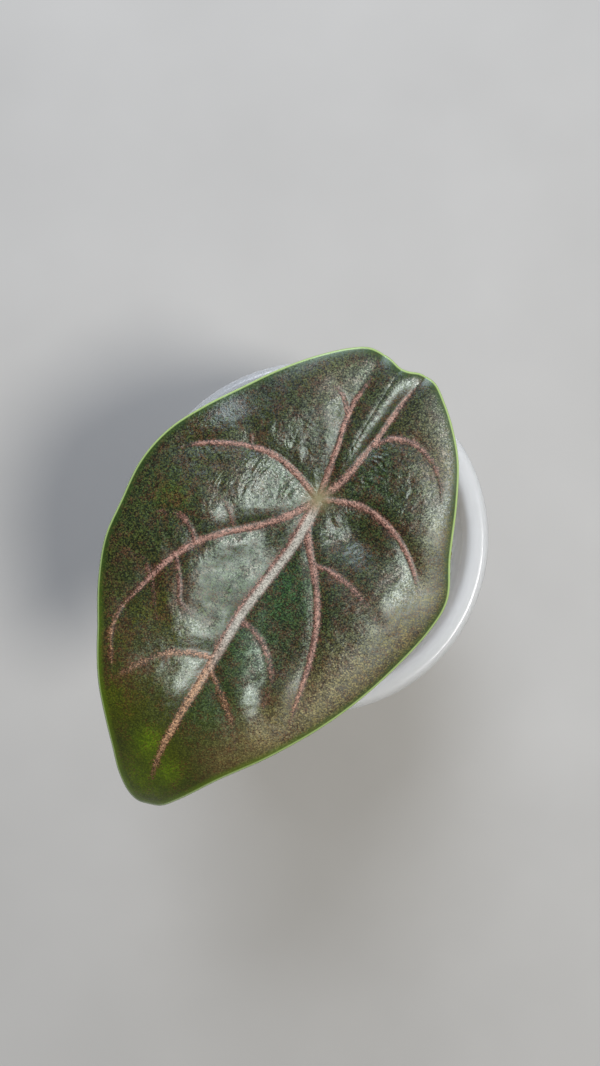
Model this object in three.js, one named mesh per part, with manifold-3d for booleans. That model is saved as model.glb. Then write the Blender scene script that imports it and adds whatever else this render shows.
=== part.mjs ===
// A potted Alocasia azlanii: one shield-shaped leaf on its stalk, growing from a corm in a clear cup of moss.
// Millimetres, +Z up. The origin is on the cup's axis at the underside of its base.
// The leaf's tip points along -Y and its midrib lies close to the YZ plane.

import * as THREE from "three";
import { mergeVertices } from "three/addons/utils/BufferGeometryUtils.js";
import Module from "manifold-3d";

const wasm = await Module();
wasm.setup();

// Driving dimensions

const GAP = 0.3; // between pieces that touch

const CUP = {
  rimRadius: 45, mouthRadius: 39.6, baseRadius: 31, height: 80, wall: 1.1, floor: 1.5,
  skirt: 4.4, drainHoles: 8, drainRadius: 2.4, drainCircle: 20, segments: 64,
};

const MOSS = { top: 67.5, crown: 1.6, bump: 0.9, segments: 56, rings: 7, tiers: 3 };

const CORM = {
  foot: 42, crown: 69.4, radius: 6.6, neckRadius: 3.4, holeRadius: 8, holeFloor: 27, segments: 20,
  roots: 7, rootRadius: 0.75, rootEnd: 28.4, rootWander: 0.5,
};

const STALK = { footRadius: 2.8, topRadius: 1.6, sides: 14, steps: 26, sheathShare: 0.34 };

const LEAF = {
  hub: new THREE.Vector3(-3.6, 6.5, 146), // where the stalk meets the blade
  thickness: 0.8,
  lift: 0.85, slope: 0.005, bendFrom: 42.5, bend: 0.016, // nearly level, bending down towards the tip
  lobesFrom: 2, lobesBend: 0.004, // the basal lobes bend up a little, behind the hub
  leftFold: { up: 0.13, down: 0.07, shoulder: 14.3, softness: 2.8 }, // each side climbs away from the
  rightFold: { up: 0.03, down: 0.07, shoulder: 21, softness: 1.4 }, // midrib and rolls over at its shoulder
  lobeFold: { up: 0.11, down: 0.07, shoulder: 20, softness: 4.6 },
  foldBlend: 6, // the right side's fold turns into its lobe's over this distance on either side of the hub
  merging: 6, // how sharply the veins' grooves merge
  marginCurl: 1.4, curlWidth: 3, // the margin curls down
  crestRise: 1, crestWidth: 3.7, // where the two basal lobes have grown together
  crestFrom: 2, crestFull: 10, // distances from the hub over which the crest rises
  branchDepth: 0.2, branchWidth: 2, branchFade: 8, // how far the branch veins are drawn in
};

// Leaf outline and veins, seen from above, as [across, along] from the hub. Along grows towards the tip.

const OUTLINE = [
  [0.1, 68.6], [2.5, 67.3], [4.8, 63.8], [9.6, 55.1], [15.8, 46], [21.1, 37.2], [24.8, 29.4],
  [28, 20.2], [30.2, 11.1], [30.3, 4.6], [26.5, -2.9], [22.8, -11.6], [19.1, -18.6], [15.4, -23.1],
  [11.5, -26.7], [8.1, -29], [5.1, -29.2], [3, -28.4], [1.4, -28.2], [-1.4, -28.9], [-5.2, -28.8],
  [-8.2, -27.1], [-13.1, -22.8], [-18, -17.4], [-22.4, -11.5], [-26.8, -5.1], [-30.7, 2.1],
  [-32.4, 9.5], [-31.9, 18.2], [-31.2, 25.2], [-28.4, 33], [-24, 41.1], [-19.2, 49.3], [-15.2, 54.7],
  [-11.3, 59.9], [-7.8, 64.8], [-4.2, 68.2], [-1.9, 69.1],
];

// Main veins and the crease between the basal lobes, in turn about the hub. Each runs on to the margin.
// rise is the cord's height above the blade, keel its height below, width its half-width at the hub,
// and groove how deep the blade is drawn in along the vein and over what width.

const SPOKES = [
  { rays: 9, rise: 0.5, keel: 1.1, width: 1.15, groove: [0.45, 9],
    path: [[0, 0], [-0.1, 9.7], [-1.2, 17.6], [-2.3, 25.7], [-2.5, 35.3], [-2.7, 44.9], [-2.8, 53.8],
      [-1.8, 62.4], [0.1, 68.4]] },
  { rays: 8, rise: 0.3, keel: 0.7, width: 0.9, groove: [0.4, 9],
    path: [[0, 0], [1, 5.5], [3.5, 9.2], [6.3, 12.5], [9.1, 16.6], [11.3, 20.8], [13, 25.7], [14.2, 31],
      [15.3, 37.2], [16.8, 42.9]] },
  { rays: 13, rise: 0.3, keel: 0.7, width: 0.8, groove: [0.3, 9],
    path: [[0, 0], [4.2, -1.9], [8.2, -2.9], [12.3, -2.4], [16.5, -0.9], [20.2, 1.5], [23, 4.2], [25.4, 7.3],
      [27.3, 10.8], [29, 14.4]] },
  { rays: 2, rise: 0.3, keel: 0.7, width: 0.8, groove: [0.5, 2.2],
    path: [[0, 0], [2.3, -5.4], [3.3, -10.4], [4, -14.3], [4.4, -18.8], [4.9, -23.3], [5.5, -26.3],
      [6.3, -29.8]] },
  { rays: 2, rise: 0, keel: 0, width: 0.5, groove: [0, 1],
    path: [[0, 0], [0.6, -6.2], [0.8, -12.1], [1, -18.2], [1.3, -24.3], [1.5, -28.4]] },
  { rays: 12, rise: 0.3, keel: 0.7, width: 0.75, groove: [0.3, 3],
    path: [[0, 0], [-1, -6.3], [-1.8, -11.1], [-2.6, -14.7], [-2.9, -18.2], [-2.6, -21.7], [-2.4, -25.6],
      [-2.5, -29.5]] },
  { rays: 9, rise: 0.3, keel: 0.7, width: 0.85, groove: [0.3, 9],
    path: [[0, 0], [-5, -2], [-10.6, -3.2], [-15.4, -2.5], [-20.2, -0.6], [-24.9, 2.3], [-28.1, 5.5],
      [-30.8, 8.6]] },
  { rays: 9, rise: 0.3, keel: 0.75, width: 0.9, groove: [0.3, 4],
    path: [[0, 0], [-2.9, 4.7], [-7.2, 9.5], [-11.9, 13.6], [-15.6, 17.6], [-18.1, 22.1], [-20, 27.3],
      [-21.1, 31.5], [-22.4, 36.3], [-24.4, 40.5]] },
];

// Swells and hollows of the panels between the veins: [across, along, radius, height]

const SWELLS = [
  [-8, 28, 7, 0.5], [-6, 41, 4, 0.65], [-8, 2, 4.5, -0.35], [-13, -8, 6, 0.35], [-6, -14, 6, 0.5],
  [-22, -3, 6, 0.9], [-21, 10, 7, 0.8], [-21, 33, 8, -1.1], [-5, 53, 6, 0.9], [4, 24, 5.5, -0.65],
  [5.5, 39, 3.2, 0.6], [11, 33, 3.2, 0.3], [8, 3, 5, -1], [12, 14, 5, 0.2], [19, 12, 5, 0.45],
  [10, -12, 5, 0.3],
  [-6, 26, 6, -1.3], [-22, -8, 6, -0.5], [8, 30, 6, -0.75], [10, 2, 3.5, -0.6], [8, 38, 3.5, -0.55],
  [-2, 14, 6, -0.65], [-4, 34, 3.5, -0.35], [12, 36, 3.5, 0.4], [-8, 18, 3.5, -0.3],
];

// Branch veins, as raised cords on the upper face

const BRANCHES = [
  [[4, -13.7], [6.4, -16.3], [9.4, -17.3], [12.4, -17], [15.5, -15.7], [17.7, -13.8], [19.9, -10.9]],
  [[-10.3, 12.5], [-12.4, 10.4], [-14.2, 8.9], [-16.5, 7.8]],
  [[-15.7, 17.8], [-17.4, 16.2], [-20.1, 14.9], [-23, 15.4]],
  [[-17.9, 21.7], [-16.4, 23.4], [-14.5, 26.1], [-13, 28.8], [-9.9, 29.9], [-6.8, 29.9]],
  [[-22, 35], [-21.8, 38.9], [-19.6, 43], [-17.4, 47]],
  [[-2.5, 35], [-6.3, 36], [-10.2, 38], [-12.9, 40.8], [-15.4, 44.5]],
  [[-2.2, 26.5], [2.9, 27.6], [6.2, 30.2], [8.9, 33.7], [10, 38.9]],
  [[-2.5, 37], [3.8, 41.6], [7.1, 44.9], [9.3, 48.1]],
  [[5.1, 10.8], [9.3, 10.5], [13.5, 11.3], [17.1, 12.8], [20.1, 14.6]],
  [[-3, -16.4], [-5.4, -18.8], [-7.5, -19.5]],
];
const BRANCH_CORD = { radius: 0.5, rise: 0.3, sides: 5, step: 2 };

// The blade's rings from hub to margin, as shares of each vein's length
const RINGS = [0.05, 0.12, 0.2, 0.3, 0.41, 0.52, 0.63, 0.74, 0.84, 0.93, 1];

const MATERIALS = {
  pot: new THREE.MeshStandardMaterial({
    color: "#e6e8ea", roughness: 0.25, metalness: 0, transparent: true, opacity: 0.45,
  }),
  moss: new THREE.MeshStandardMaterial({ color: "#a8936c", roughness: 0.95, metalness: 0 }),
  corm: new THREE.MeshStandardMaterial({ color: "#6b4a33", roughness: 0.8, metalness: 0 }),
  petiole: new THREE.MeshStandardMaterial({ color: "#8a5a50", roughness: 0.45, metalness: 0 }),
  leaf_blade: new THREE.MeshStandardMaterial({ color: "#3f4a30", roughness: 0.35, metalness: 0.1 }),
};

// Meshes and solids

function meshFromTriangles(points, faces) {
  const geometry = new THREE.BufferGeometry();
  geometry.setAttribute("position", new THREE.Float32BufferAttribute(points.flat(), 3));
  geometry.setIndex(faces.flat());
  return geometry;
}

function solid(geometry) {
  const bare = geometry.clone();
  bare.deleteAttribute("normal");
  bare.deleteAttribute("uv");
  const merged = mergeVertices(bare, 1e-4);
  const corners = merged.index.array;
  const kept = [];
  for (let i = 0; i < corners.length; i += 3) {
    const [a, b, c] = corners.slice(i, i + 3);
    if (a !== b && b !== c && c !== a) kept.push(a, b, c);
  }
  return new wasm.Manifold(new wasm.Mesh({
    numProp: 3,
    vertProperties: new Float32Array(merged.attributes.position.array),
    triVerts: new Uint32Array(kept),
  }));
}

function geometryOf(body) {
  const mesh = body.getMesh();
  const geometry = new THREE.BufferGeometry();
  geometry.setAttribute("position", new THREE.BufferAttribute(new Float32Array(mesh.vertProperties), 3));
  geometry.setIndex(new THREE.BufferAttribute(new Uint32Array(mesh.triVerts), 1));
  return geometry;
}

// A turned body from its half-section, standing along Z
function turned(section, segments) {
  const geometry = new THREE.LatheGeometry(section.map(([r, z]) => new THREE.Vector2(r, z)), segments);
  return geometry.rotateX(Math.PI / 2);
}

// A closed tube along a curve. radiusAt gives the radius for a share of the length and an angle round it.
function stem(curve, radiusAt, sides, steps) {
  const frames = curve.computeFrenetFrames(steps, false);
  const points = [];
  const faces = [];
  for (let i = 0; i <= steps; i++) {
    const centre = curve.getPointAt(i / steps);
    for (let j = 0; j < sides; j++) {
      const angle = (2 * Math.PI * j) / sides;
      const radius = radiusAt(i / steps, angle);
      const point = centre.clone()
        .addScaledVector(frames.normals[i], radius * Math.cos(angle))
        .addScaledVector(frames.binormals[i], radius * Math.sin(angle));
      points.push(point.toArray());
    }
  }
  for (let i = 0; i < steps; i++) {
    for (let j = 0; j < sides; j++) {
      const next = (j + 1) % sides;
      const [a, b] = [i * sides + j, i * sides + next];
      faces.push([a, b, b + sides], [a, b + sides, a + sides]);
    }
  }
  const foot = points.push(curve.getPointAt(0).toArray()) - 1;
  const head = points.push(curve.getPointAt(1).toArray()) - 1;
  for (let j = 0; j < sides; j++) {
    const next = (j + 1) % sides;
    faces.push([foot, next, j], [head, steps * sides + j, steps * sides + next]);
  }
  return meshFromTriangles(points, faces);
}

// Cup

// The inner wall's radius at a height
function wallRadius(z) {
  const lean = (CUP.mouthRadius - (CUP.baseRadius - CUP.wall)) / (CUP.height - CUP.floor);
  return CUP.baseRadius - CUP.wall + lean * (z - CUP.floor);
}

function cup() {
  const { rimRadius, baseRadius, height, wall, floor, skirt } = CUP;
  const underLip = height - 2.6;
  const section = [
    [0, 0], [baseRadius - 1.6, 0], [baseRadius - 0.4, 0.5], [baseRadius, 1.6],
    [wallRadius(underLip) + wall, underLip], [wallRadius(height) + wall + 0.9, height - 1.5],
    [rimRadius - 1.7, height - 1.2], [rimRadius - 1, height - 2], [rimRadius - 0.9, height - skirt],
    [rimRadius, height - skirt], [rimRadius, height - 1.8], [rimRadius - 0.6, height - 0.5],
    [rimRadius - 1.8, height], [rimRadius - 3.4, height - 0.1], [wallRadius(height) + 0.6, height - 0.8],
    [wallRadius(height - 2), height - 2], [wallRadius(floor + 1.2), floor + 1.2],
    [wallRadius(floor) - 1, floor], [0, floor],
  ];
  let body = solid(turned(section, CUP.segments));
  for (let i = 0; i < CUP.drainHoles; i++) {
    const angle = (2 * Math.PI * (i + 0.5)) / CUP.drainHoles;
    const hole = new THREE.CylinderGeometry(CUP.drainRadius, CUP.drainRadius, 4 * floor, 12);
    hole.rotateX(Math.PI / 2);
    hole.translate(CUP.drainCircle * Math.cos(angle), CUP.drainCircle * Math.sin(angle), floor / 2);
    body = body.subtract(solid(hole));
  }
  return geometryOf(body);
}

// Moss

// The moss stands a little higher at the corm, and its tufts make low hummocks
function mossTop(x, y) {
  const reach = Math.hypot(x, y) / CUP.mouthRadius;
  const hummocks = Math.sin(0.62 * x + 1.1) * Math.cos(0.55 * y - 0.4)
    + 0.7 * Math.sin(0.47 * (x + y) + 2.3) + 0.6 * Math.cos(0.9 * x - 0.5 * y);
  return MOSS.top + MOSS.crown * (1 - reach * reach) + (MOSS.bump * hummocks) / 2;
}

function moss() {
  const { segments, rings, tiers } = MOSS;
  const base = CUP.floor + GAP;
  const points = [];
  const faces = [];
  const loops = [];
  const addLoop = (radius, heightAt) => {
    const loop = [];
    for (let j = 0; j < segments; j++) {
      const angle = (2 * Math.PI * j) / segments;
      const [x, y] = [radius * Math.cos(angle), radius * Math.sin(angle)];
      loop.push(points.push([x, y, heightAt(x, y)]) - 1);
    }
    loops.push(loop);
  };
  const edge = wallRadius(MOSS.top) - GAP - 1.2;
  for (let i = 1; i <= rings; i++) addLoop((edge * i) / rings, mossTop);
  for (let i = 0; i <= tiers; i++) {
    const z = MOSS.top - 2 - ((MOSS.top - 2 - base - 1) * i) / tiers;
    addLoop(wallRadius(z) - GAP, () => z);
  }
  addLoop(wallRadius(base) - GAP - 1.4, () => base);
  const top = points.push([0, 0, mossTop(0, 0)]) - 1;
  const bottom = points.push([0, 0, base]) - 1;
  for (let j = 0; j < segments; j++) {
    const next = (j + 1) % segments;
    faces.push([top, loops[0][j], loops[0][next]]);
    for (let i = 0; i + 1 < loops.length; i++) {
      const [a, b] = [loops[i], loops[i + 1]];
      faces.push([a[j], b[j], b[next]], [a[j], b[next], a[next]]);
    }
    const last = loops[loops.length - 1];
    faces.push([bottom, last[next], last[j]]);
  }
  const planting = turned([
    [0, CORM.holeFloor], [CORM.holeRadius, CORM.holeFloor], [CORM.holeRadius, CUP.height], [0, CUP.height],
  ], 24);
  return geometryOf(solid(meshFromTriangles(points, faces)).subtract(solid(planting)));
}

// Corm with its roots

function corm() {
  const { foot, crown, radius, neckRadius, segments } = CORM;
  const tall = crown - foot;
  const section = [
    [0, foot], [0.55 * radius, foot + 0.04 * tall], [0.9 * radius, foot + 0.2 * tall],
    [radius, foot + 0.42 * tall], [0.93 * radius, foot + 0.58 * tall], [0.97 * radius, foot + 0.63 * tall],
    [0.8 * radius, foot + 0.8 * tall], [0.84 * radius, foot + 0.84 * tall],
    [neckRadius, foot + 0.95 * tall], [neckRadius, crown], [0, crown],
  ];
  let body = solid(turned(section, segments));
  const spread = CORM.holeRadius - GAP - CORM.rootRadius - CORM.rootWander;
  for (let i = 0; i < CORM.roots; i++) {
    const angle = (2 * Math.PI * i) / CORM.roots + 0.3 * Math.sin(5 * i);
    const start = foot + tall * (0.18 + 0.16 * ((i * 3) % 4) / 3);
    const at = (reach, z, turn) => new THREE.Vector3(
      reach * Math.cos(angle + turn), reach * Math.sin(angle + turn), z);
    const course = new THREE.CatmullRomCurve3([
      at(0.5 * radius, start + 1, 0), at(spread, start - 3, 0.05),
      at(spread + CORM.rootWander, start - 8, 0.25), at(spread, CORM.rootEnd + 4, 0.1),
      at(spread - 1.4, CORM.rootEnd, 0.3),
    ]);
    const girth = (share) => CORM.rootRadius * (1 - 0.35 * share);
    body = body.add(solid(stem(course, girth, 6, 9)));
  }
  return geometryOf(body);
}

// Leaf blade

const flatCurve = (path, closed = false) => new THREE.CatmullRomCurve3(
  path.map(([across, along]) => new THREE.Vector3(across, along, 0)), closed);

const outlinePoints = flatCurve(OUTLINE, true).getSpacedPoints(400);
const spokeCurves = SPOKES.map((spoke) => flatCurve(spoke.path));
const spokePoints = spokeCurves.map((curve) => curve.getSpacedPoints(40));
const branchPoints = BRANCHES.map((path) => flatCurve(path).getSpacedPoints(24));
const [MIDRIB, CREASE] = [0, 4]; // their places among the spokes

function distanceToLine(x, s, line) {
  let nearest = Infinity;
  for (let i = 0; i + 1 < line.length; i++) {
    const [a, b] = [line[i], line[i + 1]];
    const [dx, ds] = [b.x - a.x, b.y - a.y];
    const share = THREE.MathUtils.clamp(((x - a.x) * dx + (s - a.y) * ds) / (dx * dx + ds * ds), 0, 1);
    nearest = Math.min(nearest, Math.hypot(x - a.x - share * dx, s - a.y - share * ds));
  }
  return nearest;
}

// Where a line that runs along the blade lies across it
function acrossAt(line, s) {
  for (let i = 0; i + 1 < line.length; i++) {
    const [a, b] = [line[i], line[i + 1]];
    if ((s - a.y) * (s - b.y) <= 0) return a.x + ((s - a.y) / (b.y - a.y)) * (b.x - a.x);
  }
  return line[line.length - 1].x;
}

// Height of a blade half that climbs away from the midrib and rolls over at its shoulder
function fold(away, { up, down, shoulder, softness }) {
  const roll = (away - shoulder + Math.hypot(away - shoulder, softness)) / 2;
  const start = (-shoulder + Math.hypot(shoulder, softness)) / 2;
  return up * away - (up + down) * (roll - start);
}

// The blade's upper face at a place on the plan, without the veins' own cords
function bladeHeight(x, s) {
  const { smoothstep } = THREE.MathUtils;
  const lengthwise = LEAF.lift - LEAF.slope * s - LEAF.bend * Math.max(s - LEAF.bendFrom, 0) ** 2
    + LEAF.lobesBend * Math.max(-s - LEAF.lobesFrom, 0) ** 2;
  const middle = acrossAt(spokePoints[s > 0 ? MIDRIB : CREASE], s);
  const away = Math.abs(x - middle);
  const towardsTip = smoothstep(s, -LEAF.foldBlend, LEAF.foldBlend);
  const rightSide = towardsTip * fold(away, LEAF.rightFold) + (1 - towardsTip) * fold(away, LEAF.lobeFold);
  const folded = x < middle ? fold(away, LEAF.leftFold) : rightSide;
  let grooves = 0;
  SPOKES.forEach(({ groove: [depth, reach] }, index) => {
    const fromVein = distanceToLine(x, s, spokePoints[index]);
    grooves += (depth * (1 - fromVein / Math.cbrt(fromVein ** 3 + reach ** 3))) ** LEAF.merging;
  });
  const drawnIn = grooves ** (1 / LEAF.merging);
  const bell = (distance, width) => Math.exp(-((distance / width) ** 2));
  let swells = 0;
  for (const [across, along, radius, rise] of SWELLS) {
    swells += rise * bell(Math.hypot(x - across, s - along), radius);
  }
  const fromMargin = distanceToLine(x, s, outlinePoints);
  const fromBranch = Math.min(...branchPoints.map((line) => distanceToLine(x, s, line)));
  const fromCrease = distanceToLine(x, s, spokePoints[CREASE]);
  const curl = LEAF.marginCurl * Math.exp(-fromMargin / LEAF.curlWidth);
  const crest = LEAF.crestRise * bell(fromCrease, LEAF.crestWidth)
    * smoothstep(-s, LEAF.crestFrom, LEAF.crestFull);
  const branch = LEAF.branchDepth * bell(fromBranch, LEAF.branchWidth)
    * smoothstep(fromMargin, 0, LEAF.branchFade);
  return LEAF.hub.z + lengthwise + folded + swells + crest - drawnIn - curl - branch;
}

// How far the margin is from the hub in a direction, given as an angle on the plan
function marginReach(angle) {
  const [cos, sin] = [Math.cos(angle), Math.sin(angle)];
  let reach = 0;
  for (let i = 0; i + 1 < outlinePoints.length; i++) {
    const [a, b] = [outlinePoints[i], outlinePoints[i + 1]];
    const [sideA, sideB] = [a.y * cos - a.x * sin, b.y * cos - b.x * sin];
    if (sideA * sideB > 0 || sideA === sideB) continue;
    const share = sideA / (sideA - sideB);
    const [x, s] = [a.x + share * (b.x - a.x), a.y + share * (b.y - a.y)];
    reach = Math.max(reach, x * cos + s * sin);
  }
  return reach;
}

const WIDEST_FLANK = 0.3; // of the way to the next vein

// One ring of points round the blade, each with the cord's height above and below the blade there
function bladeRing(share) {
  const ring = [];
  const place = (index, at) => {
    const point = spokeCurves[index].getPointAt(at);
    return { angle: Math.atan2(point.y, point.x), reach: Math.hypot(point.x, point.y) };
  };
  SPOKES.forEach((spoke, index) => {
    const after = (index + 1) % SPOKES.length;
    const [from, to] = [place(index, share), place(after, share)];
    const [fromEnd, toEnd] = [place(index, 1), place(after, 1)];
    const turn = (a, b) => b.angle - a.angle - (b.angle > a.angle ? 2 * Math.PI : 0);
    const width = Math.abs(turn(from, to)) * (from.reach + to.reach) / 2;
    const taper = 1 - 0.6 * share;
    const flank = Math.min(WIDEST_FLANK, (spoke.width * taper) / width);
    const nextFlank = Math.min(WIDEST_FLANK, (SPOKES[after].width * taper) / width);
    const stops = [0, flank];
    for (let i = 1; i <= spoke.rays; i++) {
      stops.push(flank + ((1 - flank - nextFlank) * i) / (spoke.rays + 1));
    }
    stops.push(1 - nextFlank);
    for (const stop of stops) {
      const angle = from.angle + stop * turn(from, to);
      const plain = from.reach + stop * (to.reach - from.reach);
      const endAngle = fromEnd.angle + stop * turn(fromEnd, toEnd);
      const stretch = marginReach(endAngle) / (fromEnd.reach + stop * (toEnd.reach - fromEnd.reach));
      const reach = plain * (1 + share * share * (stretch - 1));
      const cord = stop === 0 ? taper * (share < 1 ? 1 : 0) : 0;
      ring.push({
        x: reach * Math.cos(angle), s: reach * Math.sin(angle),
        rise: cord * spoke.rise, keel: cord * spoke.keel,
      });
    }
  });
  return ring;
}

// The whole blade as one closed body. swell thickens it on both faces, to leave room for it in the stalk.
function blade(swell) {
  const place = (x, s, z) => [LEAF.hub.x + x, LEAF.hub.y - s, z];
  const rings = RINGS.map(bladeRing);
  const count = rings[0].length;
  const points = [];
  const faces = [];
  const upper = points.push(place(0, 0, LEAF.hub.z + SPOKES[0].rise + swell)) - 1;
  const lower = points.push(place(0, 0, LEAF.hub.z - LEAF.thickness - SPOKES[0].keel - swell)) - 1;
  const firstAbove = points.length;
  for (const ring of rings) {
    for (const { x, s, rise } of ring) points.push(place(x, s, bladeHeight(x, s) + rise + swell));
  }
  const firstBelow = points.length;
  for (const ring of rings) {
    for (const { x, s, keel } of ring) {
      points.push(place(x, s, bladeHeight(x, s) - LEAF.thickness - keel - swell));
    }
  }
  const twoFaced = (a, b, c) => {
    faces.push([firstAbove + a, firstAbove + b, firstAbove + c]);
    faces.push([firstBelow + a, firstBelow + c, firstBelow + b]);
  };
  for (let j = 0; j < count; j++) {
    const next = (j + 1) % count;
    faces.push([upper, firstAbove + j, firstAbove + next], [lower, firstBelow + next, firstBelow + j]);
    for (let i = 0; i + 1 < rings.length; i++) {
      const [a, b] = [i * count + j, i * count + next];
      twoFaced(a, a + count, b + count);
      twoFaced(a, b + count, b);
    }
    const [rim, rimNext] = [(rings.length - 1) * count + j, (rings.length - 1) * count + next];
    faces.push([firstAbove + rim, firstBelow + rim, firstBelow + rimNext]);
    faces.push([firstAbove + rim, firstBelow + rimNext, firstAbove + rimNext]);
  }
  return meshFromTriangles(points, faces);
}

function leafBlade() {
  const plain = blade(0);
  const face = new THREE.Mesh(plain);
  const down = new THREE.Vector3(0, 0, -1);
  const upperFace = (x, y) => {
    const above = new THREE.Vector3(x, y, 2 * LEAF.hub.z);
    return new THREE.Raycaster(above, down).intersectObject(face)[0].point.z;
  };
  let body = solid(plain);
  for (const path of BRANCHES) {
    const { radius, rise, sides, step } = BRANCH_CORD;
    const plan = flatCurve(path);
    const steps = Math.round(plan.getLength() / step);
    const course = new THREE.CatmullRomCurve3(plan.getSpacedPoints(steps).map((point) => {
      const [x, y] = [LEAF.hub.x + point.x, LEAF.hub.y - point.y];
      return new THREE.Vector3(x, y, upperFace(x, y) - radius + rise);
    }));
    const girth = (share) => radius * (1 - 0.3 * share);
    body = body.add(solid(stem(course, girth, sides, steps)));
  }
  return geometryOf(body);
}

// Leaf stalk, grooved where its sheath wraps the growing point, and fitted under the blade

function stalk() {
  const { hub } = LEAF;
  const course = new THREE.CatmullRomCurve3([
    new THREE.Vector3(0, 0, CORM.crown - 2), new THREE.Vector3(0.1, 0.6, CORM.crown + 8),
    new THREE.Vector3(0.9, 5.5, 95), new THREE.Vector3(0.3, 10.6, 120),
    new THREE.Vector3(-1.9, 11, 135), new THREE.Vector3(hub.x, hub.y + 1.6, hub.z - 3.4),
    new THREE.Vector3(hub.x, hub.y, hub.z - 0.5),
  ]);
  const grooveAt = 0.25 * Math.PI;
  const apart = (angle, from) => Math.abs(Math.atan2(Math.sin(angle - from), Math.cos(angle - from)));
  const girth = (share, angle) => {
    const sheath = 1 - THREE.MathUtils.smoothstep(share, 0.6 * STALK.sheathShare, STALK.sheathShare);
    const plain = THREE.MathUtils.lerp(STALK.footRadius, STALK.topRadius, share ** 0.7);
    const groove = 0.34 * Math.exp(-((apart(angle, grooveAt) / 0.4) ** 2));
    const lips = 0.2 * Math.exp(-(((apart(angle, grooveAt) - 0.9) / 0.35) ** 2));
    return plain * (1 + sheath * (0.12 - groove + lips));
  };
  const block = 20;
  const belowFoot = new THREE.BoxGeometry(block, block, block);
  belowFoot.translate(0, 0, CORM.crown + GAP - block / 2);
  const body = solid(stem(course, girth, STALK.sides, STALK.steps));
  return geometryOf(body.subtract(solid(belowFoot)).subtract(solid(blade(GAP))));
}

// Assembly

const group = new THREE.Group();
const pieces = { pot: cup(), moss: moss(), corm: corm(), petiole: stalk(), leaf_blade: leafBlade() };
for (const [name, geometry] of Object.entries(pieces)) {
  const piece = new THREE.Mesh(geometry, MATERIALS[name]);
  piece.name = name;
  group.add(piece);
}

export default group;
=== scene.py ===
"""A potted Alocasia azlanii seen from straight above: one dark, quilted leaf over a clear cup of moss."""

import math

import bpy
import numpy as np
from mathutils import Matrix, Vector


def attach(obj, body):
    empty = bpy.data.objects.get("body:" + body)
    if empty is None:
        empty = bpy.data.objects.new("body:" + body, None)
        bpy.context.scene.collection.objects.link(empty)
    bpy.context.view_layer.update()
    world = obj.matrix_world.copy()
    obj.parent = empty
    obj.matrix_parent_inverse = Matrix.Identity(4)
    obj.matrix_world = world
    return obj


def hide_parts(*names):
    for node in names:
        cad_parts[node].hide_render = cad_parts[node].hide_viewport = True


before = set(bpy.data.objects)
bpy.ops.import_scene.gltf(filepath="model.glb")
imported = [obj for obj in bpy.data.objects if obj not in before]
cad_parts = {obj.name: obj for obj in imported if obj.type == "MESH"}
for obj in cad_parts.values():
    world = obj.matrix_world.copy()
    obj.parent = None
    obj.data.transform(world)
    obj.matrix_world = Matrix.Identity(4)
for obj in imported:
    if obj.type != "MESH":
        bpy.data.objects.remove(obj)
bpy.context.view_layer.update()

MM = 0.001
random = np.random.default_rng(4666)

# Sizes in millimetres. The leaf's plan is [across, along] from the hub, where the stalk meets the blade.

CUP = dict(rim=45, mouth=39.6, base=31, height=80, wall=1.1, floor=1.5, skirt=4.4)
DRAIN_HOLES, DRAIN_RADIUS, DRAIN_CIRCLE = 8, 2.4, 20
MOSS_TOP, MOSS_CROWN, MOSS_BUMP = 67.5, 1.6, 0.9
CORM_FOOT, CORM_CROWN, CORM_RADIUS, CORM_NECK = 42, 69.4, 6.6, 3.4
STALK_FOOT, STALK_TOP, SHEATH_SHARE = 2.8, 1.6, 0.34

HUB = np.array([-3.6, 6.5, 146])
THICKNESS, MARGIN_THICKNESS = 0.8, 0.45
# The blade is nearly level, bends down towards its tip, and its basal lobes bend up a little
LIFT, SLOPE = 0.85, 0.005
BEND_FROM, BEND = 42.5, 0.016
LOBES_FROM, LOBES_BEND = 2, 0.004
# The blade folds up from the midrib on either side and rolls over at a shoulder: slope up, slope down,
# distance of the shoulder from the midrib and its softness
LEFT_FOLD, RIGHT_FOLD, LOBE_FOLD = (0.13, 0.07, 14.3, 2.8), (0.03, 0.07, 21, 1.4), (0.11, 0.07, 20, 4.6)
# How deep and how wide the blade is drawn in along each main vein, and the narrow channel beside its
# cord
GROOVES = {"midrib": (0.45, 9), "lower_right": (0.4, 9), "right": (0.3, 9), "right_basal": (0.5, 2.2),
           "left_basal": (0.3, 3), "upper_left": (0.3, 9), "left": (0.3, 4)}
CHANNEL_DEPTH, CHANNEL_WIDTH = 0.22, 1.6
MARGIN_CURL, CURL_WIDTH = 1.4, 3
CREST_RISE, CREST_WIDTH = 1.0, 3.7
BRANCH_DEPTH, BRANCH_WIDTH = 0.2, 2
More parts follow.
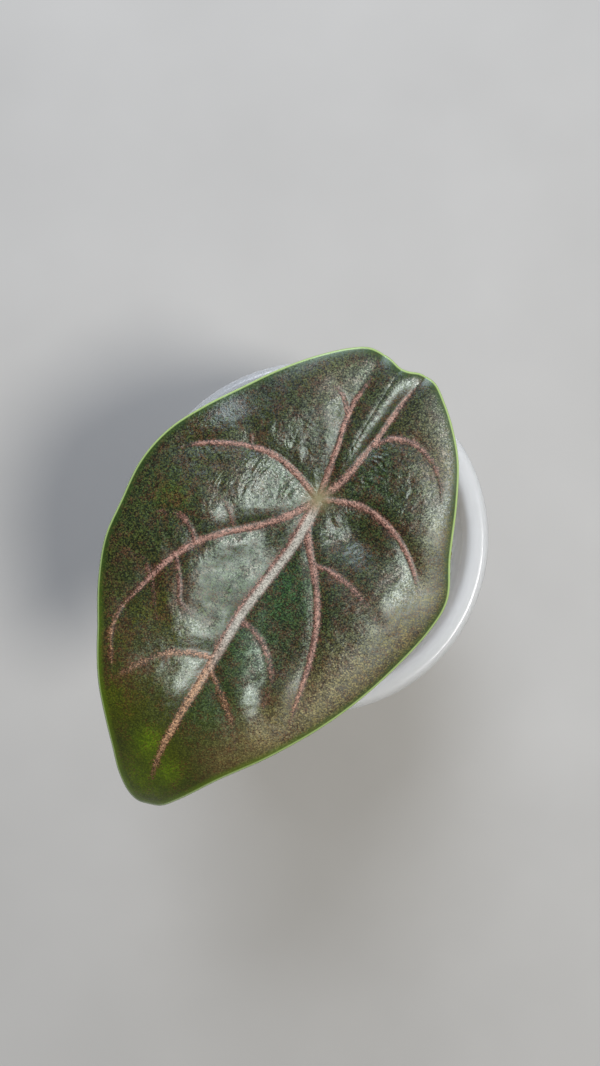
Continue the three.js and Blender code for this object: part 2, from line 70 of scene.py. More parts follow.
# Swells and hollows of the panels between the veins: across, along, radius, height
SWELLS = [
    (-8, 28, 7, 0.5), (-6, 41, 4, 0.65), (-8, 2, 4.5, -0.35), (-13, -8, 6, 0.35), (-6, -14, 6, 0.5),
    (-22, -3, 6, 0.9), (-21, 10, 7, 0.8), (-21, 33, 8, -1.1), (-5, 53, 6, 0.9), (4, 24, 5.5, -0.65),
    (5.5, 39, 3.2, 0.6), (11, 33, 3.2, 0.3), (8, 3, 5, -1.0), (12, 14, 5, 0.2), (19, 12, 5, 0.45),
    (10, -12, 5, 0.3), (-6, 26, 6, -1.3), (-22, -8, 6, -0.5), (8, 30, 6, -0.75), (10, 2, 3.5, -0.6),
    (8, 38, 3.5, -0.55), (-2, 14, 6, -0.65), (-4, 34, 3.5, -0.35), (12, 36, 3.5, 0.4),
    (-8, 18, 3.5, -0.3), (-8, 15, 5, -0.3), (-6, 40, 3.5, -0.55), (-4, 26, 4.5, 0.3),
    (-6, 10, 3.5, -0.4), (-12, 20, 3.5, -0.25), (-4, 14, 6, -0.25), (-6, 46, 3.5, 0.3),
]
# Where the panels are most pleated
PLEATED = [(-12, -5, 7, 0.7), (-14, 4, 7, 0.45), (7, 3, 7, 0.8), (9, -9, 8, 1), (-25, -2, 6, 1),
           (14, 22, 6, 0.6), (-10, 36, 5, 0.45), (-20, 16, 7, 0.5), (12, 40, 6, 0.5)]
# Patches of the upper face that differ in colour or gloss: across, along, radius, strength
PATCHES = {
    "hub": [(0, -0.3, 2.2, 0.95)],
    "olive": [(-8, 60, 14, 1.0), (-20, 42, 14, 0.8), (-29, 22, 7, 0.3), (-13, 33, 9, 0.45),
        (-22, 3, 10, 0.45), (2, 66, 9, 0.6), (8, 50, 8, 0.35)],
    "bronze": [(-15, 27, 7, 0.6), (-14, 42, 6, 0.9), (-18, 11, 6, 0.5), (12, 30, 6, 0.4),
        (7, 45, 6, 0.4), (14, 3, 6, 0.5), (17, 16, 6, 0.4), (14, -13, 6, 0.5), (-8, -13, 6, 0.35)],
    # The tan patches, mostly along the right margin, are partly the leaf's own tan and partly painted sheen
    # where the turned-down margin catches the light
    "tan": [(24, -6, 5, 0.55), (27, 4, 5, 0.6), (26, 14, 6, 0.7), (22, 25, 6, 0.75), (18, 34, 6, 0.75),
        (13, 43, 5.5, 0.75), (9, 51, 5, 0.5), (17, -16, 4.5, 0.45), (-8, -21, 6, 0.25),
        (11, -21, 5, 0.2)],
    "dull": [(-5, -13, 4, 0.5), (-9, 4, 5, 0.3), (-7, 24, 8, 0.5), (17, -14, 5, 0.4), (6, 4, 4, 0.3),
        (13.5, 35, 3, 0.9)],
    "green": [(4, 18, 6, 0.95), (2, 30, 6, 0.8), (2, 44, 6, 0.7), (7, -8, 6, 0.4), (-24, 15, 7, 0.3),
        (-7, 1, 4, 0.6), (-8, 22, 9, 0.5), (-6, -24, 6, 0.4)],
    "lime": [(-5.4, 55, 3, 1), (0.5, 58.5, 2.6, 0.7), (-3, 64, 6, 0.7), (-16, 52, 4, 0.25),
        (-24, 12, 3.5, 0.25)],
    "pleated": PLEATED,
}

OUTLINE = [
    (0.1, 68.6), (2.5, 67.3), (4.8, 63.8), (9.6, 55.1), (15.8, 46), (21.1, 37.2), (24.8, 29.4),
    (28, 20.2), (30.2, 11.1), (30.3, 4.6), (26.5, -2.9), (22.8, -11.6), (19.1, -18.6), (15.4, -23.1),
    (11.5, -26.7), (8.1, -29), (5.1, -29.2), (3, -28.4), (1.4, -28.2), (-1.4, -28.9), (-5.2, -28.8),
    (-8.2, -27.1), (-13.1, -22.8), (-18, -17.4), (-22.4, -11.5), (-26.8, -5.1), (-30.7, 2.1),
    (-32.4, 9.5), (-31.9, 18.2), (-31.2, 25.2), (-28.4, 33), (-24, 41.1), (-19.2, 49.3), (-15.2, 54.7),
    (-11.3, 59.9), (-7.8, 64.8), (-4.2, 68.2), (-1.9, 69.1),
]

# Main veins in turn about the hub: share of the rays, rise above and keel below the blade, half-width
# of the cord at the hub, half-width of its colour at hub and tip, then the course out to the margin.
# The crease between the basal lobes has no cord and no colour.
SPOKES = {
    "midrib": (9, 0.5, 1.1, 1.3, (1.2, 0.55), [
        (0, 0), (-0.1, 9.7), (-1.2, 17.6), (-2.3, 25.7), (-2.5, 35.3), (-2.7, 44.9), (-2.8, 53.8),
        (-1.8, 62.4), (-0.2, 67.4)]),
    "lower_right": (8, 0.3, 0.7, 1.0, (0.75, 0.4), [
        (0, 0), (1, 5.5), (3.5, 9.2), (6.3, 12.5), (9.1, 16.6), (11.3, 20.8), (13, 25.7), (14.2, 31),
        (15.3, 37.2), (16.8, 42.9)]),
    "right": (13, 0.3, 0.7, 0.9, (0.65, 0.35), [
        (0, 0), (4.2, -1.9), (8.2, -2.9), (12.3, -2.4), (16.5, -0.9), (20.2, 1.5), (23, 4.2),
        (25.4, 7.3), (27.3, 10.8), (29, 14.4)]),
    "right_basal": (2, 0.3, 0.7, 0.85, (0.7, 0.35), [
        (0, 0), (2.3, -5.4), (3.3, -10.4), (4, -14.3), (4.4, -18.8), (4.9, -23.3), (5.5, -26.3),
        (6.3, -29.8)]),
    "crease": (2, 0, 0, 0.5, (0, 0), [
        (0, 0), (0.6, -6.2), (0.8, -12.1), (1, -18.2), (1.3, -24.3), (1.5, -28.4)]),
    "left_basal": (12, 0.3, 0.7, 0.8, (0.65, 0.28), [
        (0, 0), (-1, -6.3), (-1.8, -11.1), (-2.6, -14.7), (-2.9, -18.2), (-2.6, -21.7), (-2.4, -25.6),
        (-2.5, -29.5)]),
    "upper_left": (9, 0.3, 0.7, 0.9, (0.7, 0.32), [
        (0, 0), (-5, -2), (-10.6, -3.2), (-15.4, -2.5), (-20.2, -0.6), (-24.9, 2.3), (-28.1, 5.5),
        (-30.8, 8.6)]),
    "left": (12, 0.3, 0.75, 1.0, (0.75, 0.4), [
        (0, 0), (-2.9, 4.7), (-7.2, 9.5), (-11.9, 13.6), (-15.6, 17.6), (-18.1, 22.1), (-20, 27.3),
        (-21.1, 31.5), (-22.4, 36.3), (-24.4, 40.5)]),
}
# Share of each main vein's length that carries colour
COLOURED = {"midrib": 0.97, "lower_right": 0.96, "right": 0.78, "right_basal": 0.93,
            "left_basal": 0.86, "upper_left": 0.88, "left": 0.93}

# Branch veins with the strength of their colour
BRANCHES = [
    (0.8, [(4, -13.7), (6.4, -16.3), (9.4, -17.3), (12.4, -17), (15.5, -15.7), (17.7, -13.8),
           (19.9, -10.9)]),
    (0.5, [(-10.3, 12.5), (-12.4, 10.4), (-14.2, 8.9), (-16.5, 7.8)]),
    (0.65, [(-15.7, 17.8), (-17.4, 16.2), (-20.1, 14.9), (-23, 15.4), (-25.1, 16.6)]),
    (0.5, [(-17.9, 21.7), (-16.4, 23.4), (-14.5, 26.1), (-13, 28.8), (-9.9, 29.9), (-6.8, 29.9)]),
    (0.6, [(-22, 35), (-21.8, 38.9), (-19.6, 43), (-17.4, 47)]),
    (0.85, [(-2.5, 35), (-6.3, 36), (-10.2, 38), (-12.9, 40.8), (-15.4, 44.5), (-16.8, 46.6)]),
    (0.6, [(-2.2, 26.5), (2.9, 27.6), (6.2, 30.2), (8.9, 33.7), (10, 38.9)]),
    (0.6, [(-2.5, 37), (3.8, 41.6), (7.1, 44.9), (9.3, 48.1)]),
    (0.75, [(5.1, 10.8), (9.3, 10.5), (13.5, 11.3), (17.1, 12.8), (20.1, 14.6)]),
    (0.7, [(-3, -16.4), (-5.4, -18.8), (-7.5, -19.5)]),
    (0.35, [(-20.1, 27.7), (-22.3, 25.3), (-25.8, 25.2)]),
    (0.35, [(-19.9, 27.5), (-17.3, 31), (-15.3, 33.7)]),
    (0.5, [(-15.5, -2.6), (-16.7, -4.9)]),
    (0.35, [(-10.6, 37.9), (-9.3, 40.2)]),
]


# Numbers and meshes

def smooth_step(value, low, high):
    share = np.clip((value - low) / (high - low), 0, 1)
    return share * share * (3 - 2 * share)


def smooth_line(points, count, closed=False):
    """Evenly spaced points on the centripetal Catmull-Rom curve through the given points."""
    knots = np.array(points, float)
    if closed:
        knots = np.vstack([knots[-1], knots, knots[:2]])
    else:
        knots = np.vstack([2 * knots[0] - knots[1], knots, 2 * knots[-1] - knots[-2]])
    dense = []
    for before, start, end, after in zip(knots, knots[1:], knots[2:], knots[3:]):
        steps = [0.0]
        for a, b in ((before, start), (start, end), (end, after)):
            steps.append(steps[-1] + max(np.linalg.norm(b - a), 1e-6) ** 0.5)
        t0, t1, t2, t3 = steps
        t = np.linspace(t1, t2, 24, endpoint=False)[:, None]
        a1 = (t1 - t) / (t1 - t0) * before + (t - t0) / (t1 - t0) * start
        a2 = (t2 - t) / (t2 - t1) * start + (t - t1) / (t2 - t1) * end
        a3 = (t3 - t) / (t3 - t2) * end + (t - t2) / (t3 - t2) * after
        b1 = (t2 - t) / (t2 - t0) * a1 + (t - t0) / (t2 - t0) * a2
        b2 = (t3 - t) / (t3 - t1) * a2 + (t - t1) / (t3 - t1) * a3
        dense.append((t2 - t) / (t2 - t1) * b1 + (t - t1) / (t2 - t1) * b2)
    line = np.vstack(dense + [knots[-2:-1]])
    length = np.concatenate([[0], np.cumsum(np.linalg.norm(np.diff(line, axis=0), axis=1))])
    wanted = np.linspace(0, length[-1], count + 1)
    return np.stack([np.interp(wanted, length, column) for column in line.T], axis=1)


def nearest_on(line, x, s):
    """Distance from each place on the plan to a line, and how far along the line its nearest point is."""
    nearest = np.full(x.shape, np.inf)
    along = np.zeros(x.shape)
    walked = 0.0
    for a, b in zip(line, line[1:]):
        step = b - a
        length = np.hypot(*step)
        share = np.clip(((x - a[0]) * step[0] + (s - a[1]) * step[1]) / length**2, 0, 1)
        distance = np.hypot(x - a[0] - share * step[0], s - a[1] - share * step[1])
        closer = distance < nearest
        nearest = np.where(closer, distance, nearest)
        along = np.where(closer, walked + share * length, along)
        walked += length
    return nearest, along


def ripples(x, y, size, seed):
    """Smooth irregular relief between about -1 and 1, whose hills are about size across."""
    draw = np.random.default_rng(seed)
    total = np.zeros(np.shape(x))
    waves = 14
    for _ in range(waves):
        angle, phase = draw.uniform(0, 2 * math.pi, 2)
        pace = 2 * math.pi / (size * draw.uniform(1.4, 3.2))
        total += np.sin(pace * (x * math.cos(angle) + y * math.sin(angle)) + phase)
    return total / math.sqrt(waves)


def make_piece(name, points, faces, materials, replaces=()):
    """A smooth mesh from points in millimetres, riding with the pot."""
    mesh = bpy.data.meshes.new(name)
    mesh.from_pydata((np.asarray(points) * MM).tolist(), [], [list(map(int, face)) for face in faces])
    mesh.shade_smooth()
    mesh.validate()
    piece = bpy.data.objects.new(name, mesh)
    bpy.context.scene.collection.objects.link(piece)
    for material in materials:
        mesh.materials.append(material)
    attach(piece, "root")
    if replaces:
        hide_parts(*replaces)
    return piece


def store(piece, name, values):
    layer = piece.data.attributes.new(name, "FLOAT", "POINT")
    layer.data.foreach_set("value", np.asarray(values, np.float32))


def grid_faces(rows, columns, start=0, flip=False):
    """Quads between the rows of a grid of points, each row closed on itself."""
    row, column = np.meshgrid(np.arange(rows - 1), np.arange(columns), indexing="ij")
    after = (column + 1) % columns
    corners = [row * columns + column, (row + 1) * columns + column, (row + 1) * columns + after,
               row * columns + after]
    quads = np.stack([corner.ravel() for corner in corners], axis=1) + start
    return quads[:, ::-1] if flip else quads


def tube(course, radii, sides, start=0):
    """Points and faces of a tube with closed ends. radii is one per point, or one per point and side."""
    course = np.asarray(course, float)
    tangents = np.gradient(course, axis=0)
    tangents /= np.linalg.norm(tangents, axis=1)[:, None]
    helper = np.array([0.0, 0.0, 1.0]) if abs(tangents[0][2]) < 0.8 else np.array([1.0, 0.0, 0.0])
    normal = np.cross(tangents[0], helper)
    angles = np.linspace(0, 2 * math.pi, sides, endpoint=False)
    radii = np.broadcast_to(np.reshape(radii, (len(course), -1)), (len(course), sides))
    points = []
    for centre, tangent, girth in zip(course, tangents, radii):
        normal = normal - tangent * normal.dot(tangent)
        normal /= np.linalg.norm(normal)
        side = np.cross(tangent, normal)
        ring = np.cos(angles)[:, None] * normal + np.sin(angles)[:, None] * side
        points.append(centre + girth[:, None] * ring)
    points.append(course[[0, -1]])
    body = grid_faces(len(course), sides, start, flip=True)
    last = start + (len(course) - 1) * sides
    foot, head = start + len(course) * sides, start + len(course) * sides + 1
    caps = [(foot, start + (j + 1) % sides, start + j) for j in range(sides)]
    caps += [(head, last + j, last + (j + 1) % sides) for j in range(sides)]
    return np.vstack(points), [tuple(quad) for quad in body] + caps


def turned(section, segments):
    """Points and faces of a turned body. The section starts and ends on the axis."""
    section = np.array(section, float)
    ring = section[1:-1]
    angles = np.linspace(0, 2 * math.pi, segments, endpoint=False)
    points = np.concatenate([
        np.stack([r * np.cos(angles), r * np.sin(angles), np.full(segments, z)], axis=1)
        for r, z in ring])
    foot, head = len(points), len(points) + 1
    points = np.vstack([points, [0, 0, section[0][1]], [0, 0, section[-1][1]]])
    last = (len(ring) - 1) * segments
    faces = [tuple(quad) for quad in grid_faces(len(ring), segments, flip=True)]
    for j in range(segments):
        after = (j + 1) % segments
        faces += [(foot, after, j), (head, last + j, last + after)]
    return points, faces


# Materials

def linear(hex_colour):
    """An sRGB hex colour as the linear RGBA that Blender's sockets take."""
    parts = [int(hex_colour[i:i + 2], 16) / 255 for i in (1, 3, 5)]
    return tuple(c / 12.92 if c <= 0.04045 else ((c + 0.055) / 1.055) ** 2.4 for c in parts) + (1.0,)


def add(tree, kind, inputs=None, **settings):
    """Adds a node with its settings. Each of its inputs gets a value, or a socket that is linked to it."""
    node = tree.nodes.new("ShaderNode" + kind)
    for name, value in settings.items():
        setattr(node, name, value)
    for name, value in (inputs or {}).items():
        if isinstance(value, bpy.types.NodeSocket):
            tree.links.new(value, node.inputs[name])
        else:
            node.inputs[name].default_value = value
    return node


def new_material(name):
    """A material, its empty node tree, and the place on the piece that its patterns follow."""
    material = bpy.data.materials.new(name)
    material.use_nodes = True
    material.node_tree.nodes.clear()
    return material, material.node_tree, add(material.node_tree, "TexCoord").outputs["Object"]


def spots(x, s, places):
    """Soft round spots on the leaf's plan, each (across, along, radius, strength), as one share up to 1."""
    total = np.zeros(np.shape(x))
    for across, along, radius, strength in places:
        total += strength * np.exp(-((x - across) ** 2 + (s - along) ** 2) / radius**2)
    return np.clip(total, 0, 1)


# Leaf blade

LEAF_ROWS, UNDER_ROWS, RAYS_PER_SHARE, FEWEST_RAYS = 186, 42, 6, 3
PUCKER_PITCH, PUCKER_DEPTH = 1.3, 0.075
BRANCH_CORD = dict(half_width=0.6, rise=0.16)
CORD_RISE = 0.65  # the main cords stand this share of their rise above the quilted blade
LEAF_START, UNDER_START, LEAF_STOP = 0.012, 0.03, 0.993  # shares of the veins' length between the rings

MARGIN = smooth_line(OUTLINE, 300, closed=True)
MAIN_LINES = {name: smooth_line(spoke[-1], 60) for name, spoke in SPOKES.items()}
BRANCH_LINES = [smooth_line(course, 24) for _, course in BRANCHES]


def line_length(line):
    return np.linalg.norm(np.diff(line, axis=0), axis=1).sum()


def cord_section(distance):
    """The rounded section of a vein's cord, 1 on its crest and 0 from its edge outwards."""
    return 0.5 * (1 + np.cos(math.pi * np.clip(distance, 0, 1)))


def blade_plan(shares):
    """Where rings, at shares of each vein's length, cross the rays from hub to margin on the plan."""
    names = list(SPOKES)
    shares = np.append(shares, 1.0)
    margin_angle = np.arctan2(MARGIN[:, 1], MARGIN[:, 0])
    margin_reach = np.hypot(MARGIN[:, 0], MARGIN[:, 1])
    order = np.argsort(margin_angle)

    def polar(name):
        line = MAIN_LINES[name]
        steps = np.linspace(0, 1, len(line))
        x, s = (np.interp(shares, steps, line[:, i]) for i in (0, 1))
        return np.arctan2(s, x)[:, None], np.hypot(x, s)[:, None]

    blocks = []
    for name, following in zip(names, names[1:] + names[:1]):
        (angle, reach), (next_angle, next_reach) = polar(name), polar(following)
        turn = next_angle - angle
        turn = np.where(turn > 0, turn - 2 * math.pi, turn)
        count = RAYS_PER_SHARE * SPOKES[name][0] + FEWEST_RAYS
        even = np.arange(count) / count
        stop = even - 0.45 * np.sin(2 * math.pi * even) / (2 * math.pi)
        angles = angle + stop * turn
        plain = reach + stop * (next_reach - reach)
        at_margin = np.interp(angles[-1], margin_angle[order], margin_reach[order], period=2 * math.pi)
        stretch = at_margin / plain[-1]
        reaches = plain * (1 + shares[:, None] ** 2 * (stretch - 1))
        blocks.append((reaches[:-1] * np.cos(angles[:-1]), reaches[:-1] * np.sin(angles[:-1])))
    return (np.concatenate([block[i] for block in blocks], axis=1) for i in (0, 1))


def fold(away, slope_up, slope_down, shoulder, softness):
    """Height of a blade half that climbs away from the midrib and rolls over at its shoulder."""
    roll = ((away - shoulder) + np.hypot(away - shoulder, softness)) / 2
    start = (-shoulder + math.hypot(shoulder, softness)) / 2
    return slope_up * away - (slope_up + slope_down) * (roll - start)


def blade_relief(x, s):
    """Heights and markings of the blade at places on its plan, each an array."""
    to_margin, _ = nearest_on(MARGIN, x, s)
    inside = smooth_step(to_margin, 0, 8)
    to_vein = np.full(x.shape, np.inf)
    along_vein, rise, keel, colour, grooves, channel = (np.zeros(x.shape) for _ in range(6))
    for name, (_, up, down, width, (hub_width, tip_width), _) in SPOKES.items():
        line = MAIN_LINES[name]
        distance, along = nearest_on(line, x, s)
        share = along / line_length(line)
        if name == "crease":
            to_crease = distance
            continue
        taper = 1 - 0.6 * share
        strength = 1 - smooth_step(share, COLOURED[name] - 0.22, COLOURED[name] + 0.03)
        stands = CORD_RISE * up * taper * (0.2 + 0.8 * strength)
        rise = np.maximum(rise, stands * cord_section(distance / (width * taper)))
        keel = np.maximum(keel, down * taper * cord_section(distance / (1.3 * width * taper)))
        depth, reach = GROOVES[name]
        groove = depth * (1 - distance / (distance**3 + reach**3) ** (1 / 3))
        grooves += np.maximum(groove, 0) ** 6
        visible = hub_width + (tip_width - hub_width) * share
        channel = np.maximum(channel, strength * np.exp(-((distance / CHANNEL_WIDTH) ** 2)))
        colour = np.maximum(colour, strength * np.exp(-((distance / visible) ** 2)))
        along_vein = np.where(distance < to_vein, along, along_vein)
        to_vein = np.minimum(to_vein, distance)
    to_branch = np.full(x.shape, np.inf)
    branch_rise = np.zeros(x.shape)
    for (strength, _), line in zip(BRANCHES, BRANCH_LINES):
        distance, along = nearest_on(line, x, s)
        share = along / line_length(line)
        visible = BRANCH_CORD["half_width"] * (1 - 0.25 * share)
        fading = strength * (1 - 0.65 * smooth_step(share, 0.35, 1))
        stands = BRANCH_CORD["rise"] * fading
        branch_rise = np.maximum(branch_rise, stands * cord_section(distance / visible))
        colour = np.maximum(colour, fading * np.exp(-((distance / visible) ** 2)))
        to_branch = np.minimum(to_branch, distance)
    middle = np.where(s > 0, np.interp(s, *MAIN_LINES["midrib"].T[::-1]),
                      np.interp(-s, -MAIN_LINES["crease"].T[1], MAIN_LINES["crease"].T[0]))
    away = np.abs(x - middle)
    ahead = smooth_step(s, -6, 6)
    right = fold(away, *RIGHT_FOLD) * ahead + fold(away, *LOBE_FOLD) * (1 - ahead)
    folded = np.where(x < middle, fold(away, *LEFT_FOLD), right)
    lengthwise = LIFT - SLOPE * s - BEND * np.maximum(s - BEND_FROM, 0) ** 2
    lengthwise += LOBES_BEND * np.maximum(-s - LOBES_FROM, 0) ** 2
    drawn_in = grooves ** (1 / 6) + CHANNEL_DEPTH * channel
    curl = MARGIN_CURL * np.exp(-to_margin / CURL_WIDTH)
    crest = CREST_RISE * np.exp(-((to_crease / CREST_WIDTH) ** 2)) * smooth_step(-s, 2, 10)
    branch = BRANCH_DEPTH * np.exp(-((to_branch / BRANCH_WIDTH) ** 2)) * inside
    swells = sum(rise_there * np.exp(-((x - across) ** 2 + (s - along) ** 2) / radius**2)
                 for across, along, radius, rise_there in SWELLS)
    # Pleats run from the veins out across the panels, stronger in some patches than in others
    in_panel = smooth_step(to_vein, 0.8, 2.5) * smooth_step(to_branch, 0.2, 1.4) * inside
    pleated = 0.1 + spots(x, s, PLEATED) * smooth_step(ripples(x, s, 2.4, 12), -0.7, 1.2)
    astray = ripples(x, s, 2, 31)
    pleats = ripples(along_vein + 0.6 * astray, 0.3 * to_vein + 0.2 * astray, PUCKER_PITCH / 2.2, 5)
    dimples = ripples(x, s, 1.1, 7)
    puckers = PUCKER_DEPTH * in_panel * (pleated * pleats + 0.2 * dimples)
    return dict(
        height=HUB[2] + lengthwise + folded + swells + crest - drawn_in - curl - branch,
        rise=rise + branch_rise, keel=keel, puckers=puckers, vein=colour, margin=to_margin,
        blush=np.exp(-((np.minimum(to_branch, to_vein + 0.8) / 2) ** 2)))


def make_leaf(upper, underside):
    """The blade: rings of its upper face from hub to margin, then of its underside back to the hub."""
    shares = LEAF_START + (LEAF_STOP - LEAF_START) * np.linspace(0, 1, LEAF_ROWS) ** 0.92
    under_shares = LEAF_STOP - (LEAF_STOP - UNDER_START) * np.linspace(0, 1, UNDER_ROWS)
    x, s = blade_plan(np.concatenate([shares, [1.0], under_shares]))
    columns = x.shape[1]
    relief = blade_relief(x.ravel(), s.ravel())
    field = {name: values.reshape(x.shape) for name, values in relief.items()}
    above = np.arange(len(x))[:, None] < LEAF_ROWS
    rim = np.arange(len(x))[:, None] == LEAF_ROWS
    thickness = MARGIN_THICKNESS + (THICKNESS - MARGIN_THICKNESS) * smooth_step(field["margin"], 0, 6)
    top = field["height"] + field["rise"] + field["puckers"]
    bottom = field["height"] - thickness - field["keel"] + field["puckers"]
    z = np.where(above, top, np.where(rim, (top + bottom) / 2, bottom))
    points = np.stack([HUB[0] + x.ravel(), HUB[1] - s.ravel(), z.ravel()], axis=1)
    faces = grid_faces(len(x), columns).tolist()
    crest, foot = len(points), len(points) + 1
    crest_height, foot_height = top[0].mean() + 0.05, bottom[-1].min() - 0.1
    points = np.vstack([points, [HUB[0], HUB[1], crest_height], [HUB[0], HUB[1], foot_height]])
    last = (len(x) - 1) * columns
    for j in range(columns):
        after = (j + 1) % columns
        faces += [(crest, j, after), (foot, last + after, last + j)]
    leaf = make_piece("leaf", points, faces, [upper, underside], ["leaf_blade"])
    under_face = np.zeros(len(faces), np.int32)
    under_face[(LEAF_ROWS + 1) * columns:(len(x) - 1) * columns] = 1
    under_face[(len(x) - 1) * columns + 1::2] = 1
    leaf.data.polygons.foreach_set("material_index", under_face)
    ends = [0, 0]
    plan_x, plan_s = np.append(x.ravel(), ends), np.append(s.ravel(), ends)
    marks = {name: spots(plan_x, plan_s, places) for name, places in PATCHES.items()}
    marks["bronze"] = np.clip(marks["bronze"] + 0.6 * np.append(relief["blush"], ends), 0, 1.2)
    marks["vein"] = np.append(relief["vein"], [1, 1])
    marks["margin"] = np.append(relief["margin"], [20, 20])
    marks["tip"] = smooth_step(plan_s, 20, 62)
    # A painted highlight: a pale stripe along the right flank of the midrib near the hub, where the raised
    # cord catches the light
    middle = np.interp(plan_s, *MAIN_LINES["midrib"].T[::-1])
    ahead = smooth_step(plan_s, 0.5, 4) * (1 - smooth_step(plan_s, 28, 40))
    marks["painted_midrib_highlight"] = 0.9 * ahead * np.exp(-(((plan_x - middle - 0.35) / 0.75) ** 4))
    for name, values in marks.items():
        store(leaf, name, values)


# Leaf materials

def leaf_cuticle():
    """The upper face: a dark leaf whose dome-shaped skin cells scatter light back as a grainy, cool
    sheen. Each cell is about 0.05 mm on the real leaf, and is drawn 0.21 mm wide so that it shows."""
    material, tree, place = new_material("leaf_cuticle")
    olive, bronze, green, lime, tan, dull, tip, painted_midrib_highlight, vein, margin, hub, pleated = (
        add(tree, "Attribute", attribute_name=name).outputs["Fac"]
        for name in ("olive", "bronze", "green", "lime", "tan", "dull", "tip", "painted_midrib_highlight", "vein", "margin",
                     "hub", "pleated"))
    cells = add(tree, "TexVoronoi", {"Vector": place, "Scale": 1 / (0.21 * MM)})
    tone, chance, other_chance = add(tree, "SeparateColor", {"Color": cells.outputs["Color"]}).outputs
    blotches = add(tree, "TexNoise", {"Vector": place, "Scale": 1 / (2.4 * MM), "Detail": 3}).outputs["Fac"]
    clouds = add(tree, "TexNoise", {"Vector": place, "Scale": 1 / (8 * MM)}).outputs["Fac"]

    # Dark green ground, with green, olive, lime and tan patches that wear thin where the noise is low. The
    # tan patches, mostly along the right margin, are partly the leaf's own tan and partly painted sheen,
    # lighter where the turned-down margin catches the light
    sharp = add(tree, "Math", {0: tone, 1: 2}, operation="POWER").outputs[0]
    calm = add(tree, "Math", {0: tip, 1: 0.6}, operation="MULTIPLY").outputs[0]
    grain = add(tree, "Mix", {0: calm, 2: sharp, 3: 0.4}).outputs[0]
    body = add(tree, "Mix", {0: grain, 6: linear("#0a0f06"), 7: linear("#485628")},
               data_type="RGBA").outputs[2]
    for share, patchy, low, high, dark, light in (
            (green, blotches, 0.2, 0.5, "#0d200c", "#3a6a32"),
            (olive, clouds, 0.25, 0.6, "#171a05", "#656814"),
            (lime, blotches, 0.38, 0.62, "#38540a", "#8cae10"),
            (tan, blotches, 0, 0.5, "#41341c", "#b5a164")):
        worn = add(tree, "MapRange", {
            "Value": patchy, "From Min": low, "From Max": high, "To Min": 0.35, "To Max": 0.95}).outputs[0]
        amount = add(tree, "Math", {0: share, 1: worn}, operation="MULTIPLY").outputs[0]
        patch = add(tree, "Mix", {0: grain, 6: linear(dark), 7: linear(light)},
                    data_type="RGBA").outputs[2]
        body = add(tree, "Mix", {0: amount, 6: body, 7: patch}, data_type="RGBA").outputs[2]
    copper = add(tree, "Mix", {0: grain, 6: linear("#1d0f08"), 7: linear("#6e432d")},
                 data_type="RGBA").outputs[2]
    spread = add(tree, "MapRange", {
        "Value": blotches, "From Min": 0.42, "From Max": 0.64, "To Min": -0.2, "To Max": 0.5}).outputs[0]
    likely = add(tree, "Math", {0: bronze, 1: 0.5, 2: spread}, operation="MULTIPLY_ADD").outputs[0]
    likely = add(tree, "Math", {0: tip, 1: -0.35, 2: likely}, operation="MULTIPLY_ADD").outputs[0]
    turned_copper = add(tree, "Math", {0: likely, 1: chance}, operation="SUBTRACT").outputs[0]
    amount = add(tree, "MapRange", {
        "Value": turned_copper, "From Min": -0.5, "From Max": 0.4, "To Max": 0.75}).outputs[0]
    body = add(tree, "Mix", {0: amount, 6: body, 7: copper}, data_type="RGBA").outputs[2]

    # Veins: cell by cell, the pink wins towards the middle of the cord, with a wine-brown fringe, and
    # turns orange towards the tip
    far = add(tree, "MapRange", {"Value": tip, "From Min": 0.1, "From Max": 0.5}).outputs[0]
    faded = add(tree, "MapRange", {
        "Value": blotches, "From Min": 0.55, "From Max": 0.35, "To Min": -0.04, "To Max": 0.2}).outputs[0]
    for reach, fringe, dark, light, light_at_tip in (
            (0.16, 0.14, "#26120d", "#6b4336", "#6b4024"), (0.5, 0.28, "#3a2018", "#cc9a88", "#dfae84")):
        lit = add(tree, "Mix", {0: far, 6: linear(light), 7: linear(light_at_tip)},
                  data_type="RGBA").outputs[2]
        cord = add(tree, "Mix", {0: tone, 6: linear(dark), 7: lit}, data_type="RGBA").outputs[2]
        jitter = add(tree, "Math", {0: other_chance, 1: -0.55, 2: vein},
                     operation="MULTIPLY_ADD").outputs[0]
        jitter = add(tree, "Math", {0: jitter, 1: faded}, operation="SUBTRACT").outputs[0]
        amount = add(tree, "MapRange", {
            "Value": jitter, "From Min": reach - fringe - 0.18, "From Max": reach + fringe - 0.18,
            "To Max": 0.92}).outputs[0]
        body = add(tree, "Mix", {0: amount, 6: body, 7: cord}, data_type="RGBA").outputs[2]
    # Painted highlight: the right flank of the midrib is painted pale cream where its cord catches the
    # light
    painted_highlight_cream = add(tree, "Mix", {0: tone, 6: linear("#6f6a60"), 7: linear("#cbc7ba")},
                data_type="RGBA").outputs[2]
    body = add(tree, "Mix", {0: painted_midrib_highlight, 6: body, 7: painted_highlight_cream}, data_type="RGBA").outputs[2]
    body = add(tree, "Mix", {0: hub, 6: body, 7: linear("#7a7048")}, data_type="RGBA").outputs[2]

    # The margin: a green band, more yellow towards the tip, and a thin pale edge
    band = add(tree, "Mix", {0: tip, 6: linear("#34501a"), 7: linear("#5f7a12")},
               data_type="RGBA").outputs[2]
    for inner, outer, most, tint in ((1.6, 0.4, 0.75, band), (0.5, 0.25, 0.95, linear("#b2cb7e"))):
        amount = add(tree, "MapRange", {
            "Value": margin, "From Min": inner, "From Max": outer, "To Max": most}).outputs[0]
        body = add(tree, "Mix", {0: amount, 6: body, 7: tint}, data_type="RGBA").outputs[2]

